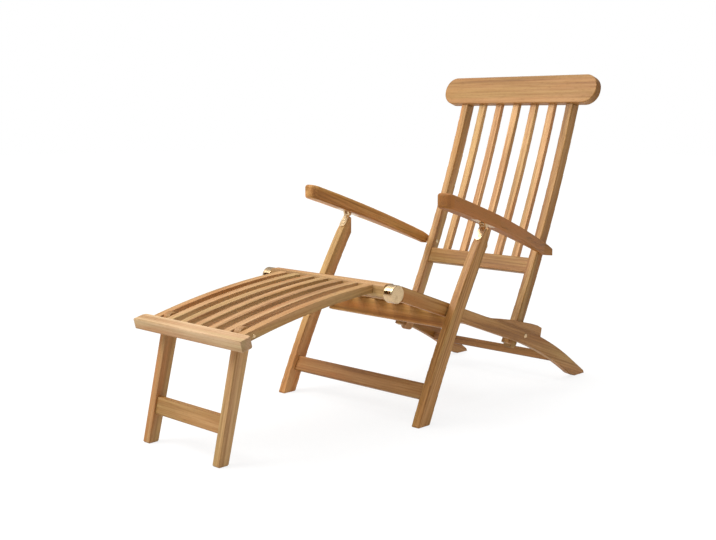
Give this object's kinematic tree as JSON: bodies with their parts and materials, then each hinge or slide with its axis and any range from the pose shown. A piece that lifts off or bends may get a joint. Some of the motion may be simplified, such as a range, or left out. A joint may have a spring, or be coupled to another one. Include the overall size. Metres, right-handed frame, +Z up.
{
  "type": "steamer deck chair",
  "caption": "Folding teak deck chair with a slatted reclining back, sloping arms and a hinged slatted footrest on folding legs",
  "frame": {"origin": "middle of the footprint, on the floor", "axes": "+Z up, +X to the sitter's left, +Y from the footrest towards the back"},
  "size_m": [0.615, 1.4824, 0.9863],
  "materials": {
    "teak": "oiled teak",
    "brass": "polished brass"
  },
  "bodies": {
    "seat": {"back_pivot_bolts": "brass", "cheek_block_left": "teak", "cheek_block_right": "teak", "low_rear_rail": "teak", "seat_apron": "teak", "seat_front_rail": "teak", "seat_rail_left": "teak", "seat_rail_right": "teak", "seat_rear_rail": "teak", "seat_slat_1": "teak", "seat_slat_2": "teak", "seat_slat_3": "teak", "seat_slat_4": "teak", "seat_slat_5": "teak", "seat_slat_6": "teak", "socket_left": "brass", "socket_right": "brass", "socket_screws": "brass"},
    "legs": {"front_leg_left": "teak", "front_leg_right": "teak", "front_leg_stretcher": "teak", "leg_hinge_leaf_left": "brass", "leg_hinge_leaf_right": "brass", "leg_hinge_screws": "brass", "leg_pivot_bolts": "brass", "leg_washers": "brass"},
    "arm_l": {"arm_left": "teak", "arm_hinge_leaf_left": "brass", "arm_hinge_pin_left": "brass", "arm_hinge_screws_left": "brass"},
    "arm_r": {"arm_right": "teak", "arm_hinge_leaf_right": "brass", "arm_hinge_pin_right": "brass", "arm_hinge_screws_right": "brass"},
    "back": {"arm_bolts": "brass", "arm_spacers": "brass", "back_lower_rail": "teak", "back_slat_1": "teak", "back_slat_2": "teak", "back_slat_3": "teak", "back_slat_4": "teak", "back_slat_5": "teak", "back_stile_left": "teak", "back_stile_right": "teak", "back_top_rail": "teak"},
    "footrest": {"footrest_bar": "teak", "footrest_bar_pins": "brass", "footrest_board": "teak", "footrest_bolts": "brass", "footrest_rail_left": "teak", "footrest_rail_right": "teak", "footrest_slat_1": "teak", "footrest_slat_2": "teak", "footrest_slat_3": "teak", "footrest_slat_4": "teak", "footrest_slat_5": "teak"},
    "footrest_stand": {"footrest_leg_left": "teak", "footrest_leg_right": "teak", "footrest_leg_stretcher": "teak"}
  },
  "joints": [
    {"name": "fold", "type": "hinge", "parent": "seat", "child": "legs", "pos_m": [0, 0.03216, 0.289], "axis": [1, 0, 0], "range_deg": [0, 70]},
    {"name": "arm_left_hinge", "type": "hinge", "parent": "legs", "child": "arm_l", "pos_m": [0.275, 0.15016, 0.539], "axis": [1, 0, 0], "range_deg": [-70, 0]},
    {"name": "arm_right_hinge", "type": "hinge", "parent": "legs", "child": "arm_r", "pos_m": [-0.275, 0.15016, 0.539], "axis": [1, 0, 0], "range_deg": [-70, 0]},
    {"name": "back_pivot", "type": "hinge", "parent": "seat", "child": "back", "pos_m": [0, 0.39416, 0.177], "axis": [1, 0, 0], "range_deg": [0, 70]},
    {"name": "footrest_hinge", "type": "hinge", "parent": "seat", "child": "footrest", "pos_m": [0, -0.20384, 0.3786], "axis": [-1, 0, 0], "range_deg": [-35, 30]},
    {"name": "stand_hinge", "type": "hinge", "parent": "footrest", "child": "footrest_stand", "pos_m": [0, -0.64884, 0.3205], "axis": [1, 0, 0], "range_deg": [0, 105]}
  ],
  "couplings": [
    {"joint": "arm_left_hinge", "follows": "fold", "ratio": -1},
    {"joint": "arm_right_hinge", "follows": "fold", "ratio": -1},
    {"joint": "back_pivot", "follows": "fold", "ratio": 1}
  ]
}
